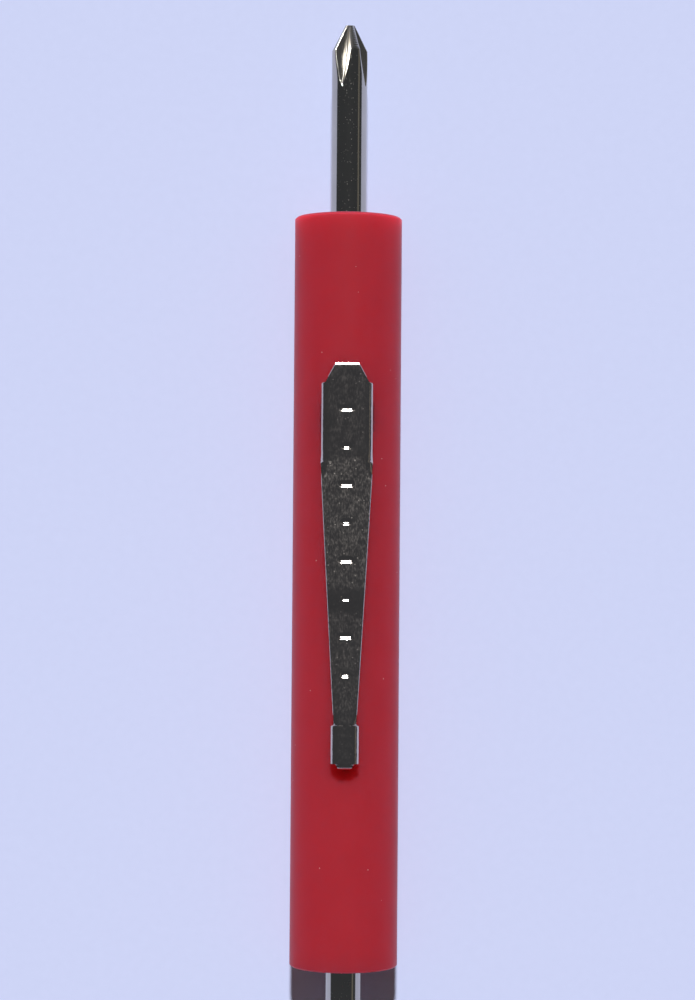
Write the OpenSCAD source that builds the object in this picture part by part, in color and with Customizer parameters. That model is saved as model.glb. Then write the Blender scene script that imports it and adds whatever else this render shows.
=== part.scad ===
// Pocket screwdriver with a blade at each end and a spring clip.
// The tool lies along Y with its front end at +Y, the clip is uppermost, and the barrel rests on Z = 0.

/* [Handle] */
// Outside diameter of the barrel
handle_d = 9.525; // [9:0.025:12]
// Length of the barrel
handle_l = 66.3; // [62:0.1:80]
// Inside diameter of the barrel, as a share of its outside diameter
bore_share = 0.667; // [0.64:0.001:0.7]
// Broken edge round each sawn end of the barrel
end_break = 0.15; // [0.05:0.05:0.3]

/* [Blades] */
// Diameter of the round shanks
shank_d = 3.175; // [2.9:0.025:3.3]
// Length of each blade that stands out of the barrel
exposed_l = 17.25; // [14:0.05:20]
// Diameter of the waist that is left where the wings are swaged out
waist_d = 2.6; // [2.2:0.1:2.8]
// Width across the two wings that carry the torque, as a share of the barrel's bore
wing_span_share = 0.756; // [0.68:0.001:0.79]
// Thickness of the wings
wing_t = 1; // [0.7:0.1:1.4]
// Length of the wings
wing_l = 8; // [6:0.5:9]
// Chamfer at the corners of the wings
wing_chamfer = 0.4; // [0.1:0.1:0.8]
// Depth of the wings below the end face of the barrel
wing_recess = 0.5; // [0.2:0.1:0.8]

/* [Blade tips] */
// Half angle of the point on the cross tips, in degrees
cross_point_angle = 27; // [24:1:30]
// Flat at the end of the front blade's cross tip
front_cross_flat_d = 0.85; // [0.6:0.05:1.1]
// Length of the flutes on the front blade's cross tip
front_cross_flute_l = 5.6; // [4.5:0.1:6.5]
// Flat at the end of the rear blade's cross tip
rear_cross_flat_d = 0.6; // [0.4:0.05:0.9]
// Length of the flutes on the rear blade's cross tip
rear_cross_flute_l = 4.6; // [4:0.1:6]
// Width of the front blade's slotted tip
front_slot_w = 2.5; // [2:0.1:2.8]
// Thickness of the front blade's slotted tip
front_slot_t = 0.4; // [0.3:0.05:0.6]
// Width of the rear blade's slotted tip
rear_slot_w = 3; // [2.4:0.1:3.1]
// Thickness of the rear blade's slotted tip
rear_slot_t = 0.5; // [0.3:0.05:0.8]
// Length of the ground flats on the slotted tips
slot_flat_l = 7.5; // [6:0.5:9]
// Length of the parallel end of the slotted tips
slot_parallel_l = 0.9; // [0.4:0.1:1.5]
// Turn of the front blade about its axis, in degrees
front_turn = 20; // [0:5:90]
// Turn of the rear blade about its axis, in degrees
rear_turn = 0; // [0:5:90]

/* [Retaining rings] */
// Diameter of the split ring's spring wire
ring_wire_d = 0.6; // [0.4:0.05:0.7]
// Distance from the end of the key slot to the middle of the ring
ring_setback = 2.4; // [1.5:0.1:3]
// Length of the socket behind the middle of the ring
socket_tail = 3; // [2:0.1:4]
// Angle that the split leaves open, in degrees
ring_split_angle = 40; // [20:5:90]

/* [Clip] */
// Thickness of the clip's spring steel sheet
sheet_t = 0.4; // [0.3:0.05:0.5]
// Distance from the barrel's front face to the tip of the clip's nose
clip_setback = 13.25; // [11:0.05:16]
// Width of the nose at its tip
nose_w = 2; // [1.4:0.1:2.6]
// Length of the pointed nose
nose_l = 1.9; // [1.2:0.1:2.6]
// Width over the folded root
root_w = 4.5; // [4:0.1:4.8]
// Length of the folded root behind the nose
root_l = 5.86; // [4.6:0.02:7]
// Outer radius of the root's folds
root_bend_r = 0.8; // [0.6:0.02:0.8]
// Gap between the barrel and the flat of the root
root_lift = 0.1; // [0:0.05:0.3]
// Width of the arm at its broadest
flare_w = 4.6; // [4.4:0.1:5.4]
// Length over which the root widens into the arm
flare_l = 1; // [0.8:0.1:1.6]
// Length of the tapering arm
arm_l = 22.65; // [18:0.05:26]
// Width of the arm at its neck
neck_w = 2.02; // [1.8:0.02:2.4]
// Rise of the arm from its root to the joggle
arm_rise = 0.9; // [0.6:0.05:1.2]
// Drop of the joggle
joggle_drop = 0.2; // [0.1:0.05:0.4]
// Length of the joggle
joggle_l = 1.8; // [1:0.1:2.4]
// Rise of the arm from the joggle to the neck
neck_rise = 0.65; // [0.3:0.05:0.8]
// Width over the folded end
end_w = 2.45; // [2.2:0.05:3]
// Length of the folded end
end_l = 3.9; // [2.8:0.02:4.6]
// Outer radius of the end's folds
end_bend_r = 0.8; // [0.5:0.05:0.9]
// Outer radius of the lip turned down at the far end
lip_r = 0.5; // [0.5:0.05:0.8]
// Length of each prong through the barrel wall, along the tool
prong_l = 2.4; // [1.6:0.1:3]
// Length of the clinched end of each prong
clinch_l = 0.9; // [0.7:0.05:1.1]

/* [Clip grip bars] */
// Number of pressed grip bars along the clip
bar_count = 8; // [4:1:9]
// Distance from one bar to the next
bar_pitch = 3.3; // [2.6:0.1:3.4]
// Distance from the tip of the nose to the first bar
bar_setback = 4; // [3.4:0.1:5]
// Width of each bar across the clip
bar_w = 0.9; // [0.6:0.1:1.2]
// Radius of the punch that presses the bars
bar_punch_r = 0.4; // [0.3:0.05:0.6]
// Depth of each bar in the sheet
bar_depth = 0.1; // [0.05:0.01:0.14]

/* [Fits] */
// Radial gap between a socket and the barrel bore
socket_gap = 0.02; // [0.01:0.01:0.05]
// Radial gap between a shank and its socket bore
shank_gap = 0.05; // [0.03:0.01:0.1]
// Gap round the wings in their key slot, and at their seat
wing_gap = 0.06; // [0.04:0.01:0.1]
// Radial gap between a shank and its retaining ring
ring_grip_gap = 0.03; // [0.02:0.01:0.08]
// Gap round a retaining ring in its groove
ring_groove_gap = 0.05; // [0.03:0.01:0.1]
// Gap between the clip's root and the barrel, and round its prongs
prong_gap = 0.03; // [0.02:0.01:0.06]
// Gap between the arm's rolled root and the socket that it turns in
knuckle_gap = 0.03; // [0.02:0.01:0.05]
// Gap between the clip's resting end and the barrel
rest_gap = 0.05; // [0.03:0.01:0.1]

/* [Hidden] */
$fn = 64;

// Colours of the red plastic, the polished blades, the spring wire and the plated clip
barrel_red = [0.66, 0.13, 0.17];
socket_red = [0.52, 0.09, 0.13];
blade_steel = [0.62, 0.63, 0.64];
wire_steel = [0.45, 0.46, 0.48];
clip_nickel = [0.70, 0.70, 0.70];

// Run of every cut past the face that it opens
overrun = 0.5;

// Handle
handle_r = handle_d / 2;
bore_d = bore_share * handle_d;
bore_r = bore_d / 2;
front_face_y = handle_l / 2;

// Blades, measured from the end face that they come out of
shank_r = shank_d / 2;
wing_span = wing_span_share * bore_d;
// Part of the waist that shows above the end face, as a share of the wings' recess
waist_show_share = 0.2;
waist_show = waist_show_share * wing_recess;
key_depth = wing_recess + wing_l + wing_gap;
waist_end = 2 * wing_recess + wing_l;
stored_depth = waist_end + exposed_l;
ring_depth = key_depth + ring_setback;
socket_l = ring_depth + socket_tail;
ring_r = shank_r + ring_grip_gap + ring_wire_d / 2;

// Depth of the flutes at the end of a cross tip, as a share of the flat there
flute_core_share = 0.75;

// Clip stations along the tool
nose_y = front_face_y - clip_setback;
shoulder_y = nose_y - nose_l;
flare_y = shoulder_y - root_l;
broad_y = flare_y - flare_l;
neck_y = broad_y - arm_l;
end_y = neck_y - end_l;
hinge_y = flare_y - flare_l / 2;
hinge_w = (root_w + flare_w) / 2;
// Place of the joggle, as a share of the arm's length from its broadest point
joggle_share = 0.49;
joggle_y = broad_y - joggle_share * arm_l;
joggle_end_y = joggle_y - joggle_l;
prong_y = (shoulder_y + flare_y) / 2;

// Clip heights, of the underside of the sheet
root_z = handle_d + root_lift;
joggle_z = root_z + arm_rise;
joggle_end_z = joggle_z - joggle_drop;
neck_z = joggle_end_z + neck_rise;
hinge_z = root_z + sheet_t / 2;
root_top_z = root_z + sheet_t;
neck_top_z = neck_z + sheet_t;

// Height of the barrel's surface at a distance x from its middle
function barrel_z(x) = handle_r + sqrt(handle_r * handle_r - x * x);
root_inner_x = root_w / 2 - sheet_t;
end_inner_x = end_w / 2 - sheet_t;
root_foot_z = barrel_z(root_inner_x) + prong_gap;
end_foot_z = barrel_z(end_inner_x) + rest_gap;

// Clinched ends of the prongs: a flat strip that lies against the barrel's bore
clinch_face_r = sqrt(pow(bore_r - prong_gap, 2) - pow(clinch_l / 2, 2));
clinch_turn = asin(root_inner_x / bore_r) - atan(clinch_l / 2 / clinch_face_r) / 2;
prong_foot_z = handle_r + (clinch_face_r - sheet_t) * cos(clinch_turn) - clinch_l / 2 * sin(clinch_turn);

// Height of the sheet's upper face at a place y along the clip
function sheet_top_z(y) = sheet_t + lookup(-y, [
    [-hinge_y, root_z],
    [-joggle_y, joggle_z],
    [-joggle_end_y, joggle_end_z],
    [-neck_y, neck_z]
]);

// Puts a shape that points up from an end face onto the front or the rear end of the barrel
module at_front_end() {
    translate([0, front_face_y, handle_r]) rotate([-90, 0, 0]) rotate([0, 0, front_turn]) children();
}

module at_rear_end() {
    translate([0, -front_face_y, handle_r]) rotate([90, 0, 0]) rotate([0, 0, rear_turn]) children();
}

// Extrudes an outline drawn in Y and Z across the tool
module across(width) {
    rotate([90, 0, 90]) linear_extrude(width, center = true) children();
}

// Extrudes a section drawn in X and Z from one place along the tool back to another
module along(from_y, to_y) {
    translate([0, from_y, 0]) rotate([90, 0, 0]) linear_extrude(from_y - to_y) children();
}

// Barrel: a tube with its sawn edges broken, slit for the two prongs
module handle_barrel() {
    color(barrel_red) difference() {
        translate([0, -front_face_y, handle_r]) rotate([-90, 0, 0]) rotate_extrude() polygon([
            [bore_r, 0],
            [handle_r - end_break, 0],
            [handle_r, end_break],
            [handle_r, handle_l - end_break],
            [handle_r - end_break, handle_l],
            [bore_r, handle_l]
        ]);
        prong_slit();
        mirror([1, 0, 0]) prong_slit();
    }
}

// Slit through the barrel wall for the prong on the +X side
module prong_slit() {
    translate([root_inner_x - prong_gap, prong_y - prong_l / 2 - prong_gap, handle_r])
        cube([sheet_t + 2 * prong_gap, prong_l + 2 * prong_gap, handle_r + overrun]);
}

// Socket: a plug with a bore for the shank, a key slot for the wings and a groove for the ring
module socket() {
    color(socket_red) difference() {
        translate([0, 0, -socket_l]) cylinder(r = bore_r - socket_gap, h = socket_l);
        translate([0, 0, -socket_l - overrun]) cylinder(r = shank_r + shank_gap, h = socket_l + 2 * overrun);
        translate([-wing_span / 2 - wing_gap, -wing_t / 2 - wing_gap, -key_depth])
            cube([wing_span + 2 * wing_gap, wing_t + 2 * wing_gap, key_depth + overrun]);
        translate([0, 0, -ring_depth - ring_wire_d / 2 - ring_groove_gap])
            cylinder(r = ring_r + ring_wire_d / 2 + ring_groove_gap, h = ring_wire_d + 2 * ring_groove_gap);
    }
}

module front_socket() {
    at_front_end() socket();
}

module rear_socket() {
    at_rear_end() socket();
}

// Retaining ring: a split ring of round spring wire
module retaining_ring() {
    color(wire_steel) translate([0, 0, -ring_depth]) rotate([0, 0, ring_split_angle / 2])
        rotate_extrude(angle = 360 - ring_split_angle) translate([ring_r, 0]) circle(d = ring_wire_d);
}

module front_retaining_ring() {
    at_front_end() retaining_ring();
}

module rear_retaining_ring() {
    at_rear_end() retaining_ring();
}

// Cut that points the end of a shank and grinds four flutes into it, with the end at the origin
module cross_tip_cut(flat_d, flute_l) {
    core_r = flute_core_share * flat_d / 2;
    rim_r = shank_r + overrun;
    rotate_extrude() polygon([
        [flat_d / 2, 0],
        [rim_r, -(rim_r - flat_d / 2) / tan(cross_point_angle)],
        [rim_r, overrun],
        [flat_d / 2, overrun]
    ]);
    for (quarter = [0 : 3])
        rotate([0, 0, quarter * 90 + 45]) translate([shank_r, 0, -flute_l])
            rotate([0, -atan((shank_r - core_r) / flute_l), 0]) rotate([0, 0, -45])
                translate([0, 0, -shank_d]) cube([shank_d, shank_d, shank_d + 2 * flute_l]);
}

// Cut that grinds the end of a shank to a flat blade, with the end at the origin
module slotted_tip_cut(width, thickness) {
    for (side = [-1, 1]) {
        across(shank_d + 2 * overrun) polygon([
            [side * shank_r, -slot_flat_l],
            [side * (shank_r + overrun), -slot_flat_l],
            [side * (shank_r + overrun), overrun],
            [side * thickness / 2, overrun],
            [side * thickness / 2, -slot_parallel_l]
        ]);
        translate([side * (width + shank_d) / 2, 0, (overrun - slot_flat_l) / 2])
            cube([shank_d, shank_d + overrun, slot_flat_l + overrun], center = true);
    }
}

// Blade: two shanks, a waist and a pair of wings, with the cuts for its outer and its stored tip
module blade() {
    color(blade_steel) difference() {
        union() {
            translate([0, 0, -stored_depth]) cylinder(d = waist_d, h = stored_depth + exposed_l);
            translate([0, 0, waist_show]) cylinder(d = shank_d, h = exposed_l - waist_show);
            translate([0, 0, -stored_depth]) cylinder(d = shank_d, h = exposed_l - waist_show);
            translate([0, 0, -wing_recess - wing_l / 2]) rotate([90, 0, 0])
                linear_extrude(wing_t, center = true) wing_outline();
        }
        translate([0, 0, exposed_l]) children(0);
        translate([0, 0, -stored_depth]) rotate([180, 0, 0]) children(1);
    }
}

module wing_outline() {
    half_w = wing_span / 2;
    half_l = wing_l / 2;
    polygon([
        [half_w, half_l - wing_chamfer],
        [half_w - wing_chamfer, half_l],
        [wing_chamfer - half_w, half_l],
        [-half_w, half_l - wing_chamfer],
        [-half_w, wing_chamfer - half_l],
        [wing_chamfer - half_w, -half_l],
        [half_w - wing_chamfer, -half_l],
        [half_w, wing_chamfer - half_l]
    ]);
}

module front_blade() {
    at_front_end() blade() {
        cross_tip_cut(front_cross_flat_d, front_cross_flute_l);
        slotted_tip_cut(front_slot_w, front_slot_t);
    }
}

module rear_blade() {
    at_rear_end() blade() {
        slotted_tip_cut(rear_slot_w, rear_slot_t);
        cross_tip_cut(rear_cross_flat_d, rear_cross_flute_l);
    }
}

// Block with rounded upper corners, whose top is at the origin
module round_topped_block(width, height, corner_r) {
    intersection() {
        translate([-width / 2, -height]) square([width, height]);
        union() {
            translate([-width / 2, -corner_r - height]) square([width, height]);
            translate([corner_r - width / 2, -height]) square([width - 2 * corner_r, height]);
            for (side = [-1, 1]) translate([side * (width / 2 - corner_r), -corner_r]) circle(r = corner_r);
        }
    }
}

// Section of sheet folded down along both sides, from its top to its feet
module folded_section(width, bend_r, top_z, foot_z) {
    translate([0, top_z]) difference() {
        round_topped_block(width, top_z - foot_z, bend_r);
        translate([0, -sheet_t])
            round_topped_block(width - 2 * sheet_t, top_z - foot_z, bend_r - sheet_t);
    }
}

// Row of grip bars pressed into the upper face of the sheet
module grip_bars() {
    for (index = [0 : bar_count - 1]) {
        bar_y = nose_y - bar_setback - index * bar_pitch;
        translate([0, bar_y, sheet_top_z(bar_y) + bar_punch_r - bar_depth])
            rotate([0, 90, 0]) cylinder(r = bar_punch_r, h = bar_w, center = true);
    }
}

// One prong, down through the slit and clinched against the bore, on the +X side
module prong() {
    translate([root_inner_x, prong_y - prong_l / 2, prong_foot_z])
        cube([sheet_t, prong_l, root_z - prong_foot_z]);
    translate([0, prong_y, handle_r]) rotate([0, clinch_turn, 0])
        translate([-clinch_l / 2, -prong_l / 2, clinch_face_r - sheet_t]) cube([clinch_l, prong_l, sheet_t]);
}

// Clip base: the pointed nose, the folded root and its two prongs
module clip_base() {
    color(clip_nickel) difference() {
        union() {
            intersection() {
                along(nose_y, flare_y) folded_section(root_w, root_bend_r, root_top_z, root_foot_z);
                translate([0, 0, root_foot_z - overrun]) linear_extrude(handle_d) polygon([
                    [nose_w / 2, nose_y],
                    [root_w / 2, shoulder_y],
                    [root_w / 2, flare_y - overrun],
                    [-root_w / 2, flare_y - overrun],
                    [-root_w / 2, shoulder_y],
                    [-nose_w / 2, nose_y]
                ]);
            }
            translate([0, 0, root_z]) linear_extrude(sheet_t) polygon([
                [root_inner_x, flare_y + flare_l],
                [root_inner_x, flare_y],
                [hinge_w / 2, hinge_y],
                [-hinge_w / 2, hinge_y],
                [-root_inner_x, flare_y],
                [-root_inner_x, flare_y + flare_l]
            ]);
            prong();
            mirror([1, 0, 0]) prong();
        }
        translate([0, hinge_y, hinge_z]) rotate([0, 90, 0])
            cylinder(r = sheet_t / 2 + knuckle_gap, h = 2 * flare_w, center = true);
        grip_bars();
    }
}

// Clip arm: a rolled root to turn on, the tapering joggled arm, and the folded end with its lip
module clip_arm() {
    color(clip_nickel) difference() {
        union() {
            translate([0, hinge_y, hinge_z]) rotate([0, 90, 0])
                cylinder(d = sheet_t, h = hinge_w, center = true);
            intersection() {
                across(flare_w) polygon([
                    [hinge_y, root_z],
                    [joggle_y, joggle_z],
                    [joggle_end_y, joggle_end_z],
                    [neck_y, neck_z],
                    [neck_y - sheet_t, neck_z],
                    [neck_y - sheet_t, neck_top_z],
                    [neck_y, neck_top_z],
                    [joggle_end_y, joggle_end_z + sheet_t],
                    [joggle_y, joggle_z + sheet_t],
                    [hinge_y, root_top_z]
                ]);
                translate([0, 0, handle_d]) linear_extrude(handle_d) polygon([
                    [hinge_w / 2, hinge_y],
                    [flare_w / 2, broad_y],
                    [neck_w / 2, neck_y],
                    [neck_w / 2, neck_y - sheet_t],
                    [-neck_w / 2, neck_y - sheet_t],
                    [-neck_w / 2, neck_y],
                    [-flare_w / 2, broad_y],
                    [-hinge_w / 2, hinge_y]
                ]);
            }
            along(neck_y, end_y + lip_r) folded_section(end_w, end_bend_r, neck_top_z, end_foot_z);
            turned_lip();
        }
        grip_bars();
    }
}

// Lip turned down at the far end of the clip
module turned_lip() {
    lip_w = end_w - 2 * sheet_t;
    translate([0, end_y + lip_r, neck_top_z - lip_r]) intersection() {
        difference() {
            rotate([0, 90, 0]) cylinder(r = lip_r, h = lip_w, center = true);
            rotate([0, 90, 0]) cylinder(r = lip_r - sheet_t, h = lip_w + 2 * overrun, center = true);
        }
        translate([-lip_w / 2, -lip_r, 0]) cube([lip_w, lip_r + overrun, lip_r]);
    }
}

handle_barrel();
front_socket();
rear_socket();
front_retaining_ring();
rear_retaining_ring();
front_blade();
rear_blade();
clip_base();
clip_arm();
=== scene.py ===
"""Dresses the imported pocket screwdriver: a red barrel, two ground blades and one springy pocket clip."""

import logging
import math
from dataclasses import dataclass
from enum import Enum
from typing import Any, Mapping, Sequence

import bmesh
import bpy
from mathutils import Matrix, Vector


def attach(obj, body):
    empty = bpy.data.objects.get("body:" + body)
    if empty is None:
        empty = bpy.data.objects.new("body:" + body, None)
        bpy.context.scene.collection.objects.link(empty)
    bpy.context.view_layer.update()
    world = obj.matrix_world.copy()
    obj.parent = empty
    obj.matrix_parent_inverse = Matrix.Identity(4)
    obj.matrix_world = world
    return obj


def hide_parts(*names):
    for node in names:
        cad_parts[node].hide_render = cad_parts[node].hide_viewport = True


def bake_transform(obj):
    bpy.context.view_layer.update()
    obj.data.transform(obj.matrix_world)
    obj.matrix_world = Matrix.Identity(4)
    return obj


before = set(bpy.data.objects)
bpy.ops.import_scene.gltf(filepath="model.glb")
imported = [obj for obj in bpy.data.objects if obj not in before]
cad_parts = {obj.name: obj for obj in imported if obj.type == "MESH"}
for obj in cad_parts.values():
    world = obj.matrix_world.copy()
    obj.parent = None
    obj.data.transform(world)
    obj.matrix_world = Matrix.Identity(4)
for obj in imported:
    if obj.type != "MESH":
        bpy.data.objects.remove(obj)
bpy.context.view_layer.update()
MM = 0.001
MERGE_WITHIN = 0.0005 * MM
# Sockets of the Mix node, which repeats its socket names for each data type
FACTOR = 0
FLOAT_A = 2
FLOAT_B = 3
COLOUR_A = 6
COLOUR_B = 7
COLOUR_OUT = 2
LOG = logging.getLogger("pocket_screwdriver")
Tree = bpy.types.NodeTree
Socket = bpy.types.NodeSocket
Piece = bpy.types.Object


def linear(hex_code: str) -> tuple[float, float, float, float]:
    """Turns an sRGB hex colour into linear light.

    Args:
        hex_code: The colour as a hash sign and six hex digits.

    Returns:
        Red, green, blue and an alpha of one.
    """
    shares = [int(hex_code[start:start + 2], 16) / 255 for start in (1, 3, 5)]
    red, green, blue = [s / 12.92 if s <= 0.04045 else ((s + 0.055) / 1.055) ** 2.4 for s in shares]
    return (red, green, blue, 1.0)


def per_metre(size_mm: float) -> float:
    """Gives the pattern scale, in repeats per metre, of a feature of that size in millimetres."""
    return 1 / (size_mm * MM)


def add_node(
    tree: Tree, kind: str, sockets: Mapping[Any, Any] | None = None, **options: Any
) -> bpy.types.Node:
    """Adds a node, sets its options and fills or links its input sockets.

    Args:
        tree: The node tree that takes the node.
        kind: The node's type name, without ShaderNode in front.
        sockets: Input socket names or numbers, with the output socket to link or the value to set.
        options: The node's own settings.

    Returns:
        The new node.
    """
    node = tree.nodes.new(f"ShaderNode{kind}")
    for name, value in options.items():
        setattr(node, name, value)
    for key, value in (sockets or {}).items():
        if isinstance(value, Socket):
            tree.links.new(value, node.inputs[key])
        else:
            node.inputs[key].default_value = value
    return node


def smooth_step(low: float, high: float, value: float) -> float:
    """Rises smoothly from 0 at low to 1 at high, or falls where low is the larger."""
    share = min(max((value - low) / (high - low), 0.0), 1.0)
    return share * share * (3 - 2 * share)


def along_points(points: Sequence[tuple[float, float]], place: float) -> float:
    """Reads a value from points whose places fall, with straight lines between them.

    Args:
        points: Pairs of place and value, from the highest place to the lowest.
        place: Where to read.

    Returns:
        The value there, held at the first and the last point.
    """
    if place >= points[0][0]:
        return points[0][1]
    for (upper, first), (lower, second) in zip(points, points[1:]):
        if place >= lower:
            return first + (second - first) * (upper - place) / (upper - lower)
    return points[-1][1]


def wide_last(step: int, steps: int, last: float, gather: float = 1.0) -> float:
    """Divides a length into steps whose last one is wide enough to be rounded.

    Args:
        step: Which step, from 0 to steps.
        steps: How many there are.
        last: The last step's share of the length.
        gather: Above 1, draws the other steps together at the start.

    Returns:
        The share of the length that the step reaches.
    """
    return 1.0 if step == steps else (1 - last) * (step / (steps - 1)) ** gather


def link_piece(name: str, shape: bmesh.types.BMesh) -> Piece:
    """Turns a finished bmesh into an object in the scene.

    Args:
        name: The piece's name.
        shape: The bmesh, which is freed.

    Returns:
        The linked object, at the origin.
    """
    mesh = bpy.data.meshes.new(name)
    shape.to_mesh(mesh)
    shape.free()
    piece = bpy.data.objects.new(name, mesh)
    bpy.context.scene.collection.objects.link(piece)
    return piece


def settle_modifiers(piece: Piece) -> None:
    """Makes what a piece's modifiers give its own mesh, and removes them.

    Args:
        piece: The piece that keeps the result.
    """
    graph = bpy.context.evaluated_depsgraph_get()
    mesh = bpy.data.meshes.new_from_object(piece.evaluated_get(graph))
    piece.modifiers.clear()
    worn_out = piece.data
    piece.data = mesh
    bpy.data.meshes.remove(worn_out)


def combine(piece: Piece, tool: Piece, operation: str) -> None:
    """Cuts a tool shape from a piece or fuses the two, and removes the tool.

    Args:
        piece: The piece that changes.
        tool: The closed shape to cut with or to add.
        operation: DIFFERENCE or UNION.
    """
    modifier = piece.modifiers.new("combine", "BOOLEAN")
    modifier.object = tool
    modifier.operation = operation
    modifier.solver = "EXACT"
    settle_modifiers(piece)
    bpy.data.objects.remove(tool)


def turned(name: str, profile: Sequence[tuple[float, float]], steps: int) -> Piece:
    """Turns a profile about Z, as on a lathe.

    Args:
        name: The piece's name.
        profile: Pairs of radius and height in millimetres.
        steps: Facets round the turn.

    Returns:
        The closed piece.
    """
    shape = bmesh.new()
    points = [shape.verts.new((radius * MM, 0, height * MM)) for radius, height in profile]
    edges = [shape.edges.new(pair) for pair in zip(points, points[1:])]
    bmesh.ops.spin(
        shape,
        geom=points + edges,
        cent=(0, 0, 0),
        axis=(0, 0, 1),
        angle=math.tau,
        steps=steps,
        use_merge=True,
    )
    bmesh.ops.remove_doubles(shape, verts=shape.verts, dist=MERGE_WITHIN)
    bmesh.ops.recalc_face_normals(shape, faces=shape.faces)
    return link_piece(name, shape)


def prism(name: str, outline: Sequence[tuple[float, float]], width: float) -> Piece:
    """Extrudes an outline drawn in Y and Z across X.

    Args:
        name: The piece's name.
        outline: Corners in millimetres.
        width: Width across X in millimetres, centred.

    Returns:
        The closed prism.
    """
    shape = bmesh.new()
    corners = [shape.verts.new((-width / 2 * MM, y * MM, z * MM)) for y, z in outline]
    face = shape.faces.new(corners)
    made = bmesh.ops.extrude_face_region(shape, geom=[face])
    moved = [item for item in made["geom"] if isinstance(item, bmesh.types.BMVert)]
    bmesh.ops.translate(shape, verts=moved, vec=(width * MM, 0, 0))
    bmesh.ops.recalc_face_normals(shape, faces=shape.faces)
    return link_piece(name, shape)


def shade_smooth(piece: Piece, sharp_deg: float) -> None:
    """Shades a piece smooth but for its sharp edges.

    Args:
        piece: The piece to shade.
        sharp_deg: An edge that turns by this angle or more stays sharp.
    """
    shape = bmesh.new()
    shape.from_mesh(piece.data)
    for face in shape.faces:
        face.smooth = True
    for edge in shape.edges:
        edge.smooth = edge.calc_face_angle(0) < math.radians(sharp_deg)
    shape.to_mesh(piece.data)
    shape.free()


class Finish:
    """A surface finish that can be laid on any piece."""

    name: str
    bump_strength: float
    bump_mm: float

    def streaks(
        self, tree: Tree, place: Socket, sizes_mm: Sequence[float], detail: float
    ) -> Socket:
        """Adds noise that is stretched along the axes.

        Args:
            tree: The material's node tree.
            place: Object coordinates in metres.
            sizes_mm: Size of the pattern along X, Y and Z.
            detail: Detail of the noise.

        Returns:
            The noise.
        """
        scale = [per_metre(size) for size in sizes_mm]
        stretch = add_node(tree, "Mapping", {"Vector": place, "Scale": scale})
        noise = add_node(tree, "TexNoise", {"Vector": stretch.outputs[0], "Scale": 1.0, "Detail": detail})
        return noise.outputs[0]

    def mottled(
        self,
        tree: Tree,
        place: Socket,
        size_mm: float,
        colours: tuple[str, str],
        detail: float = 2.0,
    ) -> Socket:
        """Adds a cloud of noise that mixes two colours.

        Args:
            tree: The material's node tree.
            place: Object coordinates in metres.
            size_mm: Size of the cloud's patches.
            colours: The two colours as hex codes.
            detail: Detail of the noise.

        Returns:
            The mixed colour.
        """
        cloud = add_node(
            tree, "TexNoise", {"Vector": place, "Scale": per_metre(size_mm), "Detail": detail}
        )
        mix = add_node(tree, "Mix", {
            FACTOR: cloud.outputs[0],
            COLOUR_A: linear(colours[0]),
            COLOUR_B: linear(colours[1]),
        }, data_type="RGBA")
        return mix.outputs[COLOUR_OUT]

    def relief(self, tree: Tree, height: Socket) -> Socket:
        """Adds a bump of the finish's own strength and depth.

        Args:
            tree: The material's node tree.
            height: The pattern that stands up.

        Returns:
            The bumped normal.
        """
        bump = add_node(
            tree, "Bump", {"Strength": self.bump_strength, "Distance": self.bump_mm * MM, "Height": height}
        )
        return bump.outputs[0]

    def shade(self, tree: Tree, place: Socket) -> dict[str, Any]:
        """Adds the pattern nodes.

        Args:
            tree: The material's node tree.
            place: Object coordinates in metres.

        Returns:
            What each socket of the shader takes.
        """
        raise NotImplementedError

    def material(self) -> bpy.types.Material:
        """Makes the material the first time it is asked for.

        Returns:
            The material.
        """
        known = bpy.data.materials.get(self.name)
        if known:
            return known
        material = bpy.data.materials.new(self.name)
        material.use_nodes = True
        tree = material.node_tree
        tree.nodes.clear()
        place = add_node(tree, "TexCoord").outputs["Object"]
        shader = add_node(tree, "BsdfPrincipled", self.shade(tree, place))
        add_node(tree, "OutputMaterial", {"Surface": shader.outputs[0]})
        return material

    def lay_on(self, piece: Piece) -> None:
        """Puts the material on every face of a piece."""
        piece.data.materials.clear()
        piece.data.materials.append(self.material())


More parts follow.
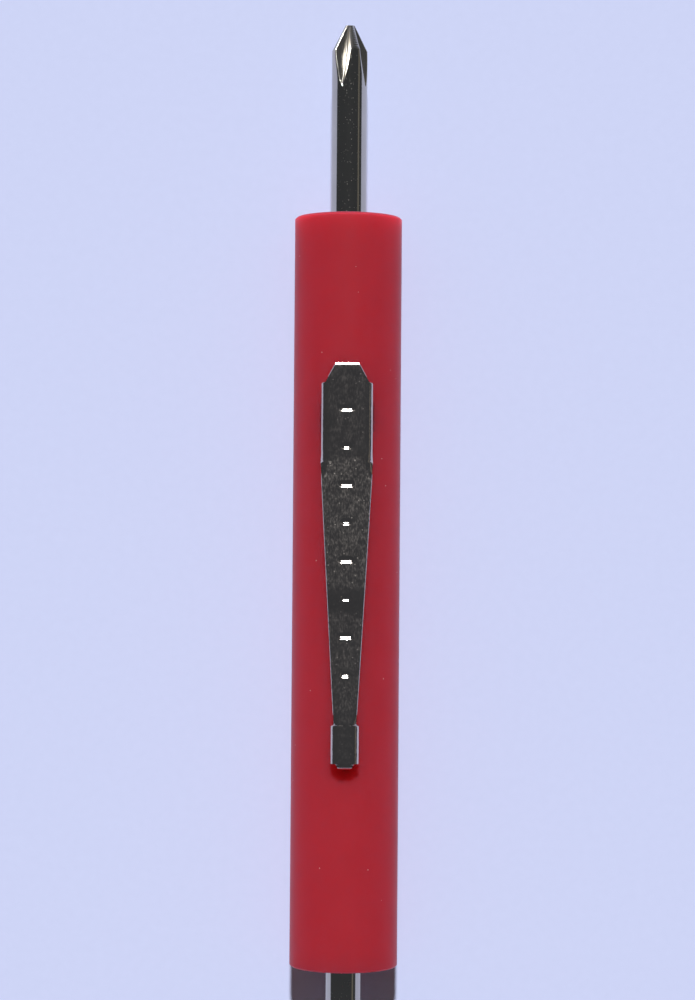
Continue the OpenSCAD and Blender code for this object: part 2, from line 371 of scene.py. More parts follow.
@dataclass(frozen=True)
class ExtrudedButyrate(Finish):
    """Red cellulose butyrate tube: a soft, slightly clear red with draw lines, dust specks and sawn ends."""

    name: str = "extruded_red_butyrate"
    red: str = "#C5313F"
    deep_red: str = "#BC2C39"
    speck: str = "#D9A9A6"
    roughness: float = 0.34
    roughness_less: float = 0.05
    roughness_more: float = 0.07
    ior: float = 1.475
    specular_level: float = 0.08
    clear_share: float = 1.0
    clear_depth_mm: float = 16.0
    clear_reach: tuple[float, float, float] = (1.0, 0.2, 0.2)
    draw_line_mm: tuple[float, float, float] = (0.22, 40.0, 0.22)
    line_detail: float = 2.0
    cloud_mm: float = 4.0
    cloud_detail: float = 3.0
    speck_cell_mm: float = 1.5
    speck_share: float = 0.035
    saw_line_mm: tuple[float, float, float] = (6.0, 0.12, 0.12)
    sawn_from_mm: float = 33.05
    bump_strength: float = 0.05
    bump_mm: float = 0.03

    def shade(self, tree: Tree, place: Socket) -> dict[str, Any]:
        """Adds draw lines, cloudy colour, specks and saw marks.

        Args:
            tree: The material's node tree.
            place: Object coordinates in metres.

        Returns:
            What each socket of the shader takes.
        """
        lines = self.streaks(tree, place, self.draw_line_mm, self.line_detail)
        body = self.mottled(tree, place, self.cloud_mm, (self.red, self.deep_red), self.cloud_detail)
        cells = add_node(
            tree, "TexVoronoi", {"Vector": place, "Scale": per_metre(self.speck_cell_mm)}, feature="F1"
        )
        specks = add_node(
            tree, "Math", {0: cells.outputs["Distance"], 1: self.speck_share}, operation="LESS_THAN"
        )
        dusty = add_node(tree, "Mix", {
            FACTOR: specks.outputs[0],
            COLOUR_A: body,
            COLOUR_B: linear(self.speck),
        }, data_type="RGBA")
        axes = add_node(tree, "SeparateXYZ", {"Vector": place})
        reach = add_node(tree, "Math", {0: axes.outputs["Y"]}, operation="ABSOLUTE")
        sawn = add_node(
            tree, "Math", {0: reach.outputs[0], 1: self.sawn_from_mm * MM}, operation="GREATER_THAN"
        )
        marks = self.streaks(tree, place, self.saw_line_mm, self.line_detail)
        marked = add_node(
            tree, "Mix", {FACTOR: sawn.outputs[0], FLOAT_A: lines, FLOAT_B: marks}, data_type="FLOAT"
        )
        bump = self.relief(tree, marked.outputs[0])
        rough = add_node(tree, "MapRange", {
            "Value": lines,
            "To Min": self.roughness - self.roughness_less,
            "To Max": self.roughness + self.roughness_more,
        })
        return {
            "Base Color": dusty.outputs[COLOUR_OUT],
            "Roughness": rough.outputs[0],
            "IOR": self.ior,
            "Specular IOR Level": self.specular_level,
            "Subsurface Weight": self.clear_share,
            "Subsurface Radius": self.clear_reach,
            "Subsurface Scale": self.clear_depth_mm * MM,
            "Normal": bump,
        }


@dataclass(frozen=True)
class MouldedSocket(Finish):
    """Injection moulded red plastic: satin, with a faint mould grain and a little flow mottling."""

    name: str = "moulded_red_plastic"
    red: str = "#8E222D"
    shade_red: str = "#7C1C26"
    roughness: float = 0.45
    grain_mm: float = 0.15
    flow_mm: float = 3.0
    bump_strength: float = 0.2
    bump_mm: float = 0.02

    def shade(self, tree: Tree, place: Socket) -> dict[str, Any]:
        """Adds mould grain and flow mottling.

        Args:
            tree: The material's node tree.
            place: Object coordinates in metres.

        Returns:
            What each socket of the shader takes.
        """
        grain = add_node(tree, "TexNoise", {"Vector": place, "Scale": per_metre(self.grain_mm)})
        body = self.mottled(tree, place, self.flow_mm, (self.red, self.shade_red))
        bump = self.relief(tree, grain.outputs[0])
        return {"Base Color": body, "Roughness": self.roughness, "Normal": bump}


@dataclass(frozen=True)
class DrawnWire(Finish):
    """Drawn spring steel wire: grey metal with the fine mottle that the drawing die leaves."""

    name: str = "drawn_spring_wire"
    grey: str = "#A9A9AB"
    dark: str = "#7E7E82"
    roughness: float = 0.32
    # The real mottle is finer; it is drawn as coarse as it needs to show
    mottle_mm: float = 0.08

    def shade(self, tree: Tree, place: Socket) -> dict[str, Any]:
        """Adds the die's mottle.

        Args:
            tree: The material's node tree.
            place: Object coordinates in metres.

        Returns:
            What each socket of the shader takes.
        """
        tint = self.mottled(tree, place, self.mottle_mm, (self.grey, self.dark))
        return {"Base Color": tint, "Metallic": 1.0, "Roughness": self.roughness}


@dataclass(frozen=True)
class PolishedPlate(Finish):
    """Chrome plated steel: a dark clear mirror with hairlines and pin pricks, satin where it is ground."""

    name: str = "polished_chrome_plate"
    bright: str = "#C6C1B8"
    dull: str = "#B4AFA6"
    roughness: float = 0.08
    clean_least_share: float = 0.6
    clean_most_share: float = 1.6
    ground_roughness: float = 0.2
    prick_roughness: float = 0.36
    # Real hairlines are finer; they are drawn as coarse as they need to show
    scratch_mm: tuple[float, float, float] = (0.09, 5.0, 0.09)
    scratch_detail: float = 3.0
    prick_cell_mm: float = 0.26
    prick_core_share: float = 0.04
    prick_rim_share: float = 0.22
    stain_mm: float = 2.5
    axis_height_mm: float = 4.7625
    ground_within_mm: float = 1.55
    bump_strength: float = 0.03
    bump_mm: float = 0.006

    def shade(self, tree: Tree, place: Socket) -> dict[str, Any]:
        """Adds lengthwise scratches, dull pin pricks, a slight stain, and grinding inside the stock's round.

        Args:
            tree: The material's node tree.
            place: Object coordinates in metres.

        Returns:
            What each socket of the shader takes.
        """
        lines = self.streaks(tree, place, self.scratch_mm, self.scratch_detail)
        tint = self.mottled(tree, place, self.stain_mm, (self.bright, self.dull))
        cells = add_node(
            tree, "TexVoronoi", {"Vector": place, "Scale": per_metre(self.prick_cell_mm)}, feature="F1"
        )
        bump = self.relief(tree, lines)
        clean = add_node(tree, "MapRange", {
            "Value": lines,
            "To Min": self.roughness * self.clean_least_share,
            "To Max": self.roughness * self.clean_most_share,
        })
        pricked = add_node(tree, "MapRange", {
            "Value": cells.outputs["Distance"],
            "From Min": self.prick_core_share,
            "From Max": self.prick_rim_share,
            "To Min": self.prick_roughness,
            "To Max": clean.outputs[0],
        })
        from_axis = add_node(tree, "Mapping", {
            "Vector": place,
            "Location": (0, 0, -self.axis_height_mm * MM),
            "Scale": (1, 0, 1),
        })
        distance = add_node(tree, "VectorMath", {0: from_axis.outputs[0]}, operation="LENGTH")
        ground = add_node(tree, "Math", {
            0: distance.outputs["Value"],
            1: self.ground_within_mm * MM,
        }, operation="LESS_THAN")
        rough = add_node(tree, "Mix", {
            FACTOR: ground.outputs[0],
            FLOAT_A: pricked.outputs[0],
            FLOAT_B: self.ground_roughness,
        }, data_type="FLOAT")
        return {
            "Base Color": tint,
            "Metallic": 1.0,
            "Roughness": rough.outputs[0],
            "Normal": bump,
        }


@dataclass(frozen=True)
class ScuffedNickel(Finish):
    """Nickel plated spring steel: a warm grey mirror frosted by fine grain, scuffs and a few specks."""

    name: str = "scuffed_nickel_plate"
    bright: str = "#D2C8C0"
    dull: str = "#BFB6AF"
    least_roughness: float = 0.07
    most_roughness: float = 0.19
    frost_from: float = 0.36
    frost_to: float = 0.64
    speck_roughness: float = 0.26
    speck_cell_mm: float = 0.5
    speck_core_share: float = 0.06
    speck_rim_share: float = 0.16
    # The rolled sheet's real grain is finer; it is drawn as coarse as it needs to show
    grain_mm: tuple[float, float, float] = (0.12, 0.3, 0.12)
    scuff_mm: float = 0.6
    scuff_share: float = 0.35
    detail: float = 2.0
    patch_mm: float = 2.2
    bump_strength: float = 0.35
    bump_mm: float = 0.02

    def shade(self, tree: Tree, place: Socket) -> dict[str, Any]:
        """Adds fine grain that thickens in the scuffs, a few dull specks and a slight tarnish.

        Args:
            tree: The material's node tree.
            place: Object coordinates in metres.

        Returns:
            What each socket of the shader takes.
        """
        grain = self.streaks(tree, place, self.grain_mm, self.detail)
        scuff = add_node(
            tree, "TexNoise", {"Vector": place, "Scale": per_metre(self.scuff_mm), "Detail": self.detail}
        )
        tint = self.mottled(tree, place, self.patch_mm, (self.bright, self.dull))
        frost = add_node(tree, "Mix", {
            FACTOR: self.scuff_share,
            FLOAT_A: grain,
            FLOAT_B: scuff.outputs[0],
        }, data_type="FLOAT")
        frosted = add_node(tree, "MapRange", {
            "Value": frost.outputs[0],
            "From Min": self.frost_from,
            "From Max": self.frost_to,
            "To Min": self.least_roughness,
            "To Max": self.most_roughness,
        })
        cells = add_node(
            tree, "TexVoronoi", {"Vector": place, "Scale": per_metre(self.speck_cell_mm)}, feature="F1"
        )
        rough = add_node(tree, "MapRange", {
            "Value": cells.outputs["Distance"],
            "From Min": self.speck_core_share,
            "From Max": self.speck_rim_share,
            "To Min": self.speck_roughness,
            "To Max": frosted.outputs[0],
        })
        bump = self.relief(tree, grain)
        return {
            "Base Color": tint,
            "Metallic": 1.0,
            "Roughness": rough.outputs[0],
            "Normal": bump,
        }


@dataclass(frozen=True)
class BluishPaper(Finish):
    """Plain bluish white paper: matt, with a faint cloud of fibres."""

    name: str = "plain_bluish_paper"
    pale: str = "#CED8FB"
    shade_pale: str = "#CAD4F7"
    fibre_mm: float = 0.8
    fibre_detail: float = 4.0
    roughness: float = 0.9
    specular_level: float = 0.1

    def shade(self, tree: Tree, place: Socket) -> dict[str, Any]:
        """Adds the fibres' faint cloud.

        Args:
            tree: The material's node tree.
            place: Object coordinates in metres.

        Returns:
            What each socket of the shader takes.
        """
        tint = self.mottled(tree, place, self.fibre_mm, (self.pale, self.shade_pale), self.fibre_detail)
        return {
            "Base Color": tint,
            "Roughness": self.roughness,
            "Specular IOR Level": self.specular_level,
        }


class End(Enum):
    """An end of the barrel, with the turn about X that points a blade out of it."""

    FRONT = -90.0
    REAR = 90.0

    def placing(self, half_length: float, axis_height: float, turn_deg: float) -> Matrix:
        """Gives the matrix that carries a blade from the lathe's Z axis to this end.

        Args:
            half_length: Half the barrel's length in millimetres.
            axis_height: Height of the tool's axis in millimetres.
            turn_deg: Turn of the blade about its own axis.

        Returns:
            The matrix, in metres.
        """
        outwards = half_length if self is End.FRONT else -half_length
        shift = Matrix.Translation((0, outwards * MM, axis_height * MM))
        lay_down = Matrix.Rotation(math.radians(self.value), 4, "X")
        return shift @ lay_down @ Matrix.Rotation(math.radians(turn_deg), 4, "Z")


@dataclass(frozen=True)
class CrossTip:
    """A pointed cross tip with four flutes ground by a wheel, in millimetres."""

    flat: float
    flute: float
    point_deg: float = 27.0
    core_share: float = 0.9
    wheel: float = 18.0
    row: float = 0.06
    lead: float = 0.8
    least_deg: float = 1.5
    flute_columns_share: float = 0.625
    bottom_share: float = 0.03
    mark_pitch: float = 0.23
    mark_depth: float = 0.02
    mark_reach: float = 3.2
    sharp_deg: float = 70.0
    face_shares: tuple[float, float, float] = (0.7, 0.4, 0.0)
    axis_clear: float = 0.01
    least_wall: float = 0.05

    def profile(self, shank: float, end: float) -> list[tuple[float, float]]:
        """Gives the lathe profile of the point, in rows fine enough to grind.

        Args:
            shank: The shank's radius.
            end: Height of the tip.

        Returns:
            Pairs of radius and height, from the shank to the end.
        """
        count = round((self.flute + self.lead) / self.row)
        depths = [(self.flute + self.lead) * (1 - step / count) for step in range(count + 1)]
        face = [(self.flat / 2 * share, end) for share in self.face_shares]
        return [(self.turned_radius(shank, depth), end - depth) for depth in depths] + face

    def turned_radius(self, shank: float, depth: float) -> float:
        """Gives the radius that the lathe left, with its fine tool marks.

        Args:
            shank: The shank's radius.
            depth: Depth below the end.

        Returns:
            The radius there.
        """
        cone = self.flat / 2 + depth * math.tan(math.radians(self.point_deg))
        fade = smooth_step(self.mark_reach, self.mark_reach / 2, depth)
        fade *= smooth_step(0, self.mark_pitch, depth)
        mark = self.mark_depth * fade * (1 - math.cos(math.tau * depth / self.mark_pitch)) / 2
        return min(cone, shank) - mark

    def floor(self, shank: float, depth: float) -> float:
        """Gives how far a flute's bottom, an arc of the wheel, is from the axis.

        Args:
            shank: The shank's radius.
            depth: Depth below the end.

        Returns:
            The distance there.
        """
        core = self.core_share * self.flat / 2
        chord = Vector((shank - core, self.flute))
        square = Vector((self.flute, core - shank)).normalized()
        rise = math.sqrt(self.wheel ** 2 - chord.length_squared / 4)
        centre = Vector((core, 0)) + chord / 2 + square * rise
        return centre.x - math.sqrt(self.wheel ** 2 - (depth - centre.y) ** 2)

    def grind(self, blade: Piece, shank: float, end: float) -> None:
        """Grinds the four flutes into a turned blade, with mesh columns that follow the flutes' edges.

        Args:
            blade: The turned blade along Z.
            shank: The shank's radius.
            end: Height of the tip, negative for a tip that points down.
        """
        for vert in blade.data.vertices:
            place = vert.co / MM
            depth = (end - place.z) * math.copysign(1, end)
            radius = math.hypot(place.x, place.y)
            if depth > self.flute + self.lead / 2 or radius < self.axis_clear:
                continue
            angle = math.atan2(place.y, place.x)
            centre = (math.floor(angle / (math.pi / 2)) + 0.5) * math.pi / 2
            turn = angle - centre
            floor = self.floor(shank, depth)
            surface = self.turned_radius(shank, max(depth, 0.0))
            edge = math.acos(min(floor / surface / math.sqrt(2), 1.0)) - math.pi / 4
            edge = max(edge, math.radians(self.least_deg))
            share = abs(turn) / (math.pi / 4)
            if share <= self.flute_columns_share:
                follow = edge * math.sin(math.pi / 2 * share / self.flute_columns_share)
            else:
                rest = (share - self.flute_columns_share) / (1 - self.flute_columns_share)
                follow = edge + (math.pi / 4 - edge) * (1 - math.cos(math.pi / 2 * rest))
            settle = smooth_step(self.flute + self.lead / 2, self.flute, depth)
            new_turn = abs(turn) + (follow - abs(turn)) * settle
            wall = math.cos(new_turn) - math.hypot(math.sin(new_turn), self.bottom_share) + self.bottom_share
            ground = min(radius, floor / wall) if wall > self.least_wall else radius
            final = centre + math.copysign(new_turn, turn)
            vert.co.x = ground * math.cos(final) * MM
            vert.co.y = ground * math.sin(final) * MM


@dataclass(frozen=True)
class SlottedTip:
    """A slotted tip with two ground flats and two ground sides, in millimetres."""

    width: float
    thickness: float
    flat: float = 7.5
    parallel: float = 0.9
    overrun: float = 0.5
    sharp_deg: float = 12.0

    def profile(self, shank: float, end: float) -> list[tuple[float, float]]:
        """Gives the lathe profile of the square end, from the shank to the end."""
        return [(shank, end), (0, end)]

    def grind(self, blade: Piece, shank: float, end: float) -> None:
        """Grinds the flats and sides on a turned blade.

        Args:
            blade: The turned blade along Z.
            shank: The shank's radius.
            end: Height of the tip, negative for a tip that points down.
        """
        for wheel in self.cutters(shank, abs(end)):
            if end < 0:
                wheel.data.transform(Matrix.Rotation(math.pi, 4, "X"))
            combine(blade, wheel, "DIFFERENCE")

    def cutters(self, shank: float, end: float) -> list[Piece]:
        """Makes the wedges and blocks that grind the flats and sides.

        Args:
            shank: The shank's radius.
            end: Height of the tip.

        Returns:
            The cutting shapes, in place.
        """
        far = shank + self.overrun
        low = end - self.flat
        high = end + self.overrun
        tools = []
        for side in (-1, 1):
            tools.append(prism(
                f"flat_{side}",
                [
                    (side * shank, low),
                    (side * far, low),
                    (side * far, high),
                    (side * self.thickness / 2, high),
                    (side * self.thickness / 2, end - self.parallel),
                ],
                2 * far,
            ))
            block = prism(f"side_{side}", [(-far, low), (far, low), (far, high), (-far, high)], shank)
            block.data.transform(Matrix.Translation((side * (self.width + shank) / 2 * MM, 0, 0)))
            tools.append(block)
        return tools


@dataclass
class Blade:
    """A reversible blade: two shanks, a swaged waist with wings, and a tip at each end, in millimetres."""

    node: str
    end: End
    turn_deg: float
    outer: CrossTip | SlottedTip
    stored: CrossTip | SlottedTip
    half_barrel: float = 33.15
    axis_height: float = 4.7625
    shank: float = 1.5875
    waist: float = 1.3
    exposed: float = 17.25
    waist_show: float = 0.1
    wing_span: float = 4.8
    wing_thick: float = 1.0
    wing_long: float = 8.0
    wing_recess: float = 0.5
    edge: float = 0.12
    hold: float = 0.03
    edge_segments: int = 2
    columns: int = 128

    def build(self) -> Piece:
        """Turns the shanks, fuses the wings and grinds both tips.

        Returns:
            The blade, in place.
        """
        low = -(2 * self.wing_recess + self.wing_long)
        shoulder = low - self.waist_show
        depth = self.exposed - low
        lower = [(radius, -height) for radius, height in self.stored.profile(self.shank, depth)]
        profile = lower[::-1] + [
            (self.shank, shoulder - self.edge - self.hold),
            (self.shank, shoulder - self.edge),
            (self.shank - self.edge, shoulder),
            (self.waist, shoulder),
            (self.waist, self.waist_show),
            (self.shank - self.edge, self.waist_show),
            (self.shank, self.waist_show + self.edge),
            (self.shank, self.waist_show + self.edge + self.hold),
        ] + self.outer.profile(self.shank, self.exposed)
        blade = turned(f"{self.node}_ground", profile, self.columns)
        combine(blade, self.wings(), "UNION")
        self.outer.grind(blade, self.shank, self.exposed)
        self.stored.grind(blade, self.shank, -depth)
        shade_smooth(blade, self.outer.sharp_deg)
        blade.data.transform(self.end.placing(self.half_barrel, self.axis_height, self.turn_deg))
        return blade

    def wings(self) -> Piece:
        """Makes the pair of swaged wings as one block with softened edges.

        Returns:
            The block, in place along Z.
        """
        shape = bmesh.new()
        bmesh.ops.create_cube(shape, size=MM)
        size = (self.wing_span, self.wing_thick, self.wing_long)
        bmesh.ops.scale(shape, vec=size, verts=shape.verts)
        middle = -self.wing_recess - self.wing_long / 2
        bmesh.ops.translate(shape, vec=(0, 0, middle * MM), verts=shape.verts)
        bmesh.ops.bevel(
            shape,
            geom=shape.edges[:],
            offset=self.edge * MM,
            offset_type="OFFSET",
            segments=self.edge_segments,
            profile=0.5,
            affect="EDGES",
            material=-1,
        )
        return link_piece("wings", shape)

    def dress(self, blade: Piece, plate: Finish) -> None:
        """Plates the blade and hands it to its body.

        Args:
            blade: The finished blade.
            plate: Its finish.
        """
        plate.lay_on(blade)
        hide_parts(self.node)
        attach(blade, self.node)


@dataclass
class PocketClip:
    """The clip, one folded stamping of spring steel sheet, in millimetres."""

    sheet: float = 0.4
    nose_y: float = 19.9
    shoulder_y: float = 18.0
    flare_y: float = 12.14
    broad_y: float = 11.14
    hinge_y: float = 11.64
    joggle_y: float = 0.04
    joggle_end_y: float = -1.76
    neck_y: float = -11.51
    end_y: float = -15.41
    nose_half: float = 1.0
    nose_foot_half: float = 2.05
    shoulder_run: float = 0.2
    root_half: float = 2.25
    broad_half: float = 2.3
    neck_half: float = 1.01
    end_half: float = 1.225
    root_bend: tuple[float, float] = (0.9, 0.55)
    corner_bend: tuple[float, float] = (1.1, 0.75)
    end_bend: tuple[float, float] = (0.9, 0.6)
    root_top: float = 10.025
    joggle_top: float = 10.925
    joggle_end_top: float = 10.725
    neck_top: float = 11.375
    root_foot: float = 9.181
    end_foot: float = 9.503
    corner_sag: float = 0.35
    corner_run: float = 1.8
    corner_tear: float = 0.35
    crease_drop: float = 0.3
    crease_run: float = 1.3
    ear_run: float = 0.15
    lip: float = 0.5
    lip_half: float = 0.82
    lip_turn: float = math.radians(78)
    lip_taper: float = 0.25
    nose_roll: float = 0.35
    nose_drop: float = 0.07
    bar_count: int = 8
    bar_pitch: float = 3.3
    bar_setback: float = 4.0
    bar_half: tuple[float, float] = (0.68, 0.46)
    bar_punch: float = 0.42
    bar_depth: float = 0.1
    fillet: float = 0.25
    fillet_steps: int = 6
    row_step: float = 0.07
    row_gather_share: float = 0.4
    lip_rows: int = 10
    columns: int = 64
    column_gather: float = 0.9
    cut_edge: float = 0.05
    axis_height: float = 4.7625
    bore: float = 3.1766
    prong_long: float = 2.4
    clinch: float = 0.9
    prong_gap: float = 0.03
    sharp_deg: float = 40.0
    flex_before: float = 0.6
    flex_after: float = 2.2

    def spine_height(self, y: float) -> float:
        """Gives the height of the sheet's upper face on the middle line, with every bend eased.

        Args:
            y: Place along the tool.

        Returns:
            The height above the floor.
        """
        line = [
            (self.hinge_y, self.root_top),
            (self.joggle_y, self.joggle_top),
            (self.joggle_end_y, self.joggle_end_top),
            (self.neck_y, self.neck_top),
        ]
        steps = self.fillet_steps
        offsets = [self.fillet * (step / steps - 1) for step in range(2 * steps + 1)]
        height = sum(along_points(line, y + offset) for offset in offsets) / len(offsets)
        rolled = max((y - self.nose_y) / self.nose_roll + 1, 0.0)
        return height - self.nose_drop * rolled * rolled

    def plan(self, y: float) -> float:
        """Gives the clip's outline, seen from above.

        Args:
            y: Place along the tool.

        Returns:
            The half width there.
        """
        if y > self.broad_y:
            spread = smooth_step(self.flare_y, self.broad_y, y)
            return self.root_half + (self.broad_half - self.root_half) * spread
        if y > self.neck_y:
            return along_points([(self.broad_y, self.broad_half), (self.neck_y, self.neck_half)], y)
        flare = smooth_step(self.neck_y, self.neck_y - self.ear_run, y)
        return self.neck_half + (self.end_half - self.neck_half) * flare

    def drop(self, y: float) -> float:
        """Gives how far the sheet's edge is folded down below its upper face.

        Args:
            y: Place along the tool.

        Returns:
            The edge's depth there.
        """
        if y > self.broad_y:
            torn = smooth_step(self.broad_y + self.corner_tear, self.broad_y, y)
            return self.corner_sag * torn + (self.root_top - self.root_foot) * (1 - torn)
        sag = self.corner_sag * smooth_step(self.broad_y - self.corner_run, self.broad_y, y)
        crease = self.crease_drop * smooth_step(self.neck_y + self.crease_run, self.neck_y, y)
        ear = (self.neck_top - self.end_foot - self.crease_drop) * smooth_step(
            self.neck_y, self.neck_y - self.ear_run, y
        )
        return max(sag, crease) + ear

    def bend(self, y: float) -> tuple[float, float]:
        """Gives the rounding of the folds along both sides.

        Args:
            y: Place along the tool.

        Returns:
            How wide and how deep the rounding is there.
        """
        if y <= (self.joggle_y + self.neck_y) / 2:
            return self.end_bend
        loose = smooth_step(self.flare_y + self.corner_tear, self.broad_y, y)
        pairs = zip(self.root_bend, self.corner_bend)
        wide, deep = (root + (corner - root) * loose for root, corner in pairs)
        return wide, deep

    def fold(self, y: float) -> tuple[float, float]:
        """Works out the fold at a place.

        Args:
            y: Place along the tool.

        Returns:
            Distance of the bend line from the middle, and half width of the flat blank.
        """
        wide, deep = self.bend(y)
        drop = self.drop(y)
        turn = math.acos(max(1 - drop / deep, 0.0))
        line = self.plan(y) - wide * math.sin(turn)
        whole = line + wide * turn + max(drop - deep, 0.0)
        if y <= self.shoulder_y:
            return line, whole
        share = (self.nose_y - y) / (self.nose_y - self.shoulder_y)
        plan = self.nose_half + (self.nose_foot_half - self.nose_half) * share
        cut = plan if plan <= line else line + wide * math.asin((plan - line) / wide)
        cut += (whole - cut) * smooth_step(self.shoulder_y + self.shoulder_run, self.shoulder_y, y)
        return line, cut

    def bar_press(self, x: float, y: float) -> float:
        """Gives how deep the round-ended grip bars press the upper face.

        Args:
            x: Place across the tool.
            y: Place along the tool.

        Returns:
            The depth there.
        """
        nearest = round((self.nose_y - self.bar_setback - y) / self.bar_pitch)
        if not 0 <= nearest < self.bar_count:
            return 0.0
        off = y - (self.nose_y - self.bar_setback - nearest * self.bar_pitch)
        groove_half = math.sqrt(self.bar_punch ** 2 - (self.bar_punch - self.bar_depth) ** 2)
        straight = self.bar_half[nearest % 2] - groove_half
        away = math.hypot(max(abs(x) - straight, 0.0), off)
        if away >= groove_half:
            return 0.0
        return self.bar_depth - self.bar_punch + math.sqrt(self.bar_punch ** 2 - away ** 2)

    def row_place(self, share: float, low: float) -> float:
        """Gives a row's place along the tool, with the rows gathered where the grip bars are.

        Args:
            share: The row's share of the way from the nose.
            low: Place of the last row.

        Returns:
            The place along Y.
        """
        y = self.nose_y + (low - self.nose_y) * share
        bar = (self.nose_y - self.bar_setback - y) / self.bar_pitch
        if not -0.5 < bar < self.bar_count - 0.5:
            return y
        return y + self.row_gather_share * self.bar_pitch / math.tau * math.sin(math.tau * bar)

    def fold_point(self, share: float, y: float, blank: float | None = None) -> tuple[float, float]:
        """Folds one point of the blank.

        Args:
            share: Place across the blank, from -1 to 1.
            y: Place along the tool that sets the fold.
            blank: Half width of the blank, if it isn't the one that the place gives.

        Returns:
            Distance from the middle plane and depth below the upper face.
        """
        wide, deep = self.bend(y)
        line, reach = self.fold(y)
        reach = reach if blank is None else blank
        middle_columns = self.columns // 2
        column = round(abs(share) * middle_columns)
        run = reach * wide_last(column, middle_columns, self.cut_edge / reach, self.column_gather)
        turn = min(max((run - line) / wide, 0.0), math.pi / 2)
        flange = max(run - line - wide * math.pi / 2, 0.0)
        x = min(run, line) + wide * math.sin(turn)
        depth = deep * (1 - math.cos(turn)) + flange
        return math.copysign(x, share), depth

    def build(self) -> Piece:
        """Folds the blank from a grid, thickens it, breaks its cut edges and adds the prongs.

        Returns:
            The clip, in place.
        """
        lip_start = self.end_y + self.lip
        rows = round((self.nose_y - lip_start) / self.row_step)
        total = rows + self.lip_rows
        shape = bmesh.new()
        bmesh.ops.create_grid(shape, x_segments=self.columns, y_segments=total, size=1.0)
        for vert in shape.verts:
            row = round((1 - vert.co.y) / 2 * total)
            share = vert.co.x
            if row <= rows:
                from_lip = wide_last(rows - row, rows, self.cut_edge / (self.nose_y - lip_start))
                y = self.row_place(1 - from_lip, lip_start)
                x, depth = self.fold_point(share, y)
                z = self.spine_height(y) - depth - self.bar_press(x, y)
            else:
                round_lip = wide_last(row - rows, self.lip_rows, self.cut_edge / (self.lip * self.lip_turn))
                turn = self.lip_turn * round_lip
                half = self.lip_half - self.lip_taper * round_lip
                x, depth = self.fold_point(share, lip_start, half)
                inner = self.lip - depth
                y = lip_start - inner * math.sin(turn)
                z = self.neck_top - self.lip + inner * math.cos(turn)
            vert.co = Vector((x, y, z)) * MM
        shape.normal_update()
        shape.verts.index_update()
        broken = {vert.index: vert.normal * self.cut_edge * MM for vert in shape.verts if vert.is_boundary}
        clip = link_piece("pocket_clip_sheet", shape)
        thicken = clip.modifiers.new("thicken", "SOLIDIFY")
        thicken.thickness = self.sheet * MM
        thicken.offset = -1
        settle_modifiers(clip)
        for index, shift in broken.items():
            clip.data.vertices[index].co -= shift
        self.add_prongs(clip)
        return clip

    def add_prongs(self, clip: Piece) -> None:
        """Adds the two clinched prongs and shades the clip smooth between its cut edges.

        Args:
            clip: The folded clip.
        """
        shape = bmesh.new()
        shape.from_mesh(clip.data)
        for side in (-1, 1):
            self.add_prong(shape, side)
        shape.to_mesh(clip.data)
        shape.free()
        shade_smooth(clip, self.sharp_deg)

    def add_prong(self, shape: bmesh.types.BMesh, side: int) -> None:
        """Adds one prong through the barrel wall, and its clinched end against the bore.

        Args:
            shape: The clip's bmesh.
            side: -1 for the left prong and 1 for the right one.
        """
        inner = self.root_half - self.sheet
        face = math.sqrt((self.bore - self.prong_gap) ** 2 - (self.clinch / 2) ** 2)
        turn = math.asin(inner / self.bore) - math.atan(self.clinch / 2 / face) / 2
        foot = self.axis_height + (face - self.sheet) * math.cos(turn) - self.clinch / 2 * math.sin(turn)
        middle_y = (self.shoulder_y + self.flare_y) / 2
        top = self.root_foot + self.sheet / 2
        post = Matrix.Translation(
            (side * (inner + self.sheet / 2 - self.prong_gap) * MM, middle_y * MM, (foot + top) / 2 * MM)
        ) @ Matrix.Diagonal((self.sheet, self.prong_long, top - foot, 1))
        strip = (
            Matrix.Translation((0, middle_y * MM, self.axis_height * MM))
            @ Matrix.Rotation(side * turn, 4, "Y")
            @ Matrix.Translation((0, 0, (face - self.sheet / 2) * MM))
            @ Matrix.Diagonal((self.clinch, self.prong_long, self.sheet, 1))
        )
        for placing in (post, strip):
            bmesh.ops.create_cube(shape, size=MM, matrix=placing)

    def dress(self, clip: Piece, nickel: Finish) -> None:
        """Plates the clip, hides the imported clip parts and bakes its placing into its mesh.

        Args:
            clip: The finished clip.
            nickel: Its finish.
        """
        nickel.lay_on(clip)
        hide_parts("clip_base", "clip_arm")
        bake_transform(clip)


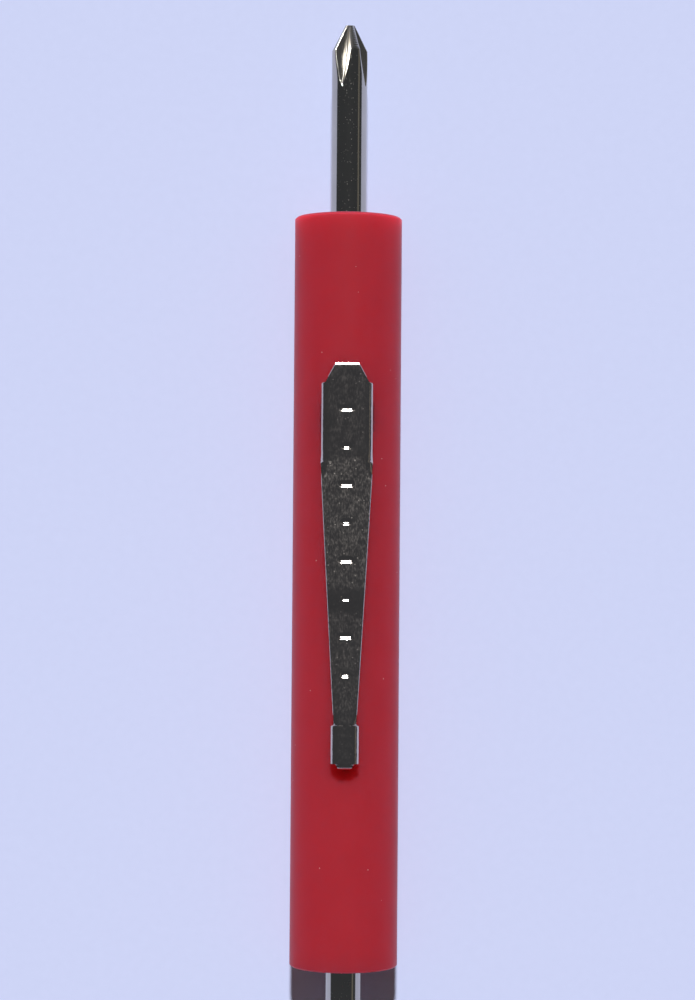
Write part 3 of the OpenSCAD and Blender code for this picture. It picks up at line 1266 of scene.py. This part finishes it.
@dataclass(frozen=True)
class Studio:
    """Paper floor, one soft key lamp over the front end, a dim room above and the camera, in metres."""

    camera_place: tuple[float, float, float] = (0.000135, 0.001486, 0.238)
    camera_turn_deg: tuple[float, float, float] = (1.611, 0.0, 0.421)
    lens_mm: float = 94.49
    sensor_mm: float = 36.0
    nearest: float = 0.01
    farthest: float = 20.0
    floor_half: float = 3.0
    lamp_strength: float = 3.49
    lamp_zenith_deg: float = 36.0
    lamp_softness_deg: float = 3.5
    left_fill: str = "#71615B"
    right_fill: str = "#4F443F"
    room: str = "#42454A"
    ledge: str = "#807D76"
    backdrop: str = "#CED6F7"
    ledge_height: float = 0.44
    ledge_half_height: float = 0.07
    ledge_from_right: float = 0.5
    skyline: float = 0.02
    skyline_end: float = 0.08

    def build(self) -> None:
        """Sets up the floor, the lamp, the world and the camera."""
        scene = bpy.context.scene
        scene.view_settings.view_transform = "Standard"
        shape = bmesh.new()
        bmesh.ops.create_grid(shape, x_segments=1, y_segments=1, size=self.floor_half)
        floor = link_piece("paper_floor", shape)
        BluishPaper().lay_on(floor)
        lamp = bpy.data.lights.new("key_lamp", "SUN")
        lamp.energy = self.lamp_strength
        lamp.angle = math.radians(self.lamp_softness_deg)
        key = bpy.data.objects.new("key_lamp", lamp)
        key.rotation_euler = (math.radians(-self.lamp_zenith_deg), 0, 0)
        scene.collection.objects.link(key)
        lens = bpy.data.cameras.new("photo_camera")
        lens.lens = self.lens_mm
        lens.sensor_width = self.sensor_mm
        lens.clip_start = self.nearest
        lens.clip_end = self.farthest
        camera = bpy.data.objects.new("photo_camera", lens)
        camera.location = self.camera_place
        camera.rotation_euler = [math.radians(angle) for angle in self.camera_turn_deg]
        scene.collection.objects.link(camera)
        scene.camera = camera
        self.light_world(scene)

    def light_world(self, scene: bpy.types.Scene) -> None:
        """Makes a fill light, stronger from the left, a dim room for metal to mirror and a pale backdrop.

        Args:
            scene: The scene that takes the world.
        """
        world = bpy.data.worlds.new("dim_room")
        world.use_nodes = True
        scene.world = world
        tree = world.node_tree
        tree.nodes.clear()
        place = add_node(tree, "TexCoord").outputs["Generated"]
        axes = add_node(tree, "SeparateXYZ", {"Vector": place})
        side = add_node(tree, "MapRange", {"Value": axes.outputs["X"], "From Min": -1.0, "From Max": 1.0})
        fill = add_node(tree, "Mix", {
            FACTOR: side.outputs[0],
            COLOUR_A: linear(self.left_fill),
            COLOUR_B: linear(self.right_fill),
        }, data_type="RGBA")
        low = add_node(tree, "MapRange", {
            "Value": axes.outputs["Z"],
            "From Min": self.skyline,
            "From Max": self.skyline_end,
            "To Min": 1.0,
            "To Max": 0.0,
        })
        level = add_node(tree, "Math", {
            0: axes.outputs["Z"],
            1: self.ledge_height,
            2: self.ledge_half_height,
        }, operation="COMPARE")
        right = add_node(
            tree, "Math", {0: axes.outputs["X"], 1: self.ledge_from_right}, operation="GREATER_THAN"
        )
        ledge = add_node(tree, "Math", {0: level.outputs[0], 1: right.outputs[0]}, operation="MULTIPLY")
        walls = add_node(tree, "Mix", {
            FACTOR: ledge.outputs[0],
            COLOUR_A: linear(self.room),
            COLOUR_B: linear(self.ledge),
        }, data_type="RGBA")
        mirrored = add_node(tree, "Mix", {
            FACTOR: low.outputs[0],
            COLOUR_A: walls.outputs[COLOUR_OUT],
            COLOUR_B: linear(self.backdrop),
        }, data_type="RGBA")
        rays = add_node(tree, "LightPath")
        glossy = add_node(tree, "Mix", {
            FACTOR: rays.outputs["Is Glossy Ray"],
            COLOUR_A: fill.outputs[COLOUR_OUT],
            COLOUR_B: mirrored.outputs[COLOUR_OUT],
        }, data_type="RGBA")
        clear = add_node(tree, "Math", {
            0: rays.outputs["Is Camera Ray"],
            1: rays.outputs["Is Transmission Ray"],
        }, operation="MAXIMUM")
        tint = add_node(tree, "Mix", {
            FACTOR: clear.outputs[0],
            COLOUR_A: glossy.outputs[COLOUR_OUT],
            COLOUR_B: linear(self.backdrop),
        }, data_type="RGBA")
        glow = add_node(tree, "Background", {"Color": tint.outputs[COLOUR_OUT], "Strength": 1.0})
        add_node(tree, "OutputWorld", {"Surface": glow.outputs[0]})


def main() -> None:
    """Builds the studio and every piece in order, and reports each."""
    logging.basicConfig(level=logging.INFO, format="%(name)s: %(message)s")
    Studio().build()
    LOG.info("studio ready")
    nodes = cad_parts
    ExtrudedButyrate().lay_on(nodes["handle_barrel"])
    LOG.info("handle_barrel dressed")
    for name in ("front_socket", "rear_socket"):
        MouldedSocket().lay_on(nodes[name])
        LOG.info("%s dressed", name)
    for name in ("front_retaining_ring", "rear_retaining_ring"):
        DrawnWire().lay_on(nodes[name])
        LOG.info("%s dressed", name)
    blades = (
        Blade(
            "front_blade",
            End.FRONT,
            turn_deg=20.0,
            outer=CrossTip(flat=0.85, flute=5.6),
            stored=SlottedTip(width=2.5, thickness=0.4),
        ),
        Blade(
            "rear_blade",
            End.REAR,
            turn_deg=0.0,
            outer=SlottedTip(width=3.0, thickness=0.5),
            stored=CrossTip(flat=0.6, flute=4.6),
        ),
    )
    for blade in blades:
        piece = blade.build()
        blade.dress(piece, PolishedPlate())
        LOG.info("%s built with %d faces", piece.name, len(piece.data.polygons))
    clip = PocketClip()
    sheet = clip.build()
    clip.dress(sheet, ScuffedNickel())
    LOG.info("%s built with %d faces", sheet.name, len(sheet.data.polygons))


if __name__ == "__main__":
    main()
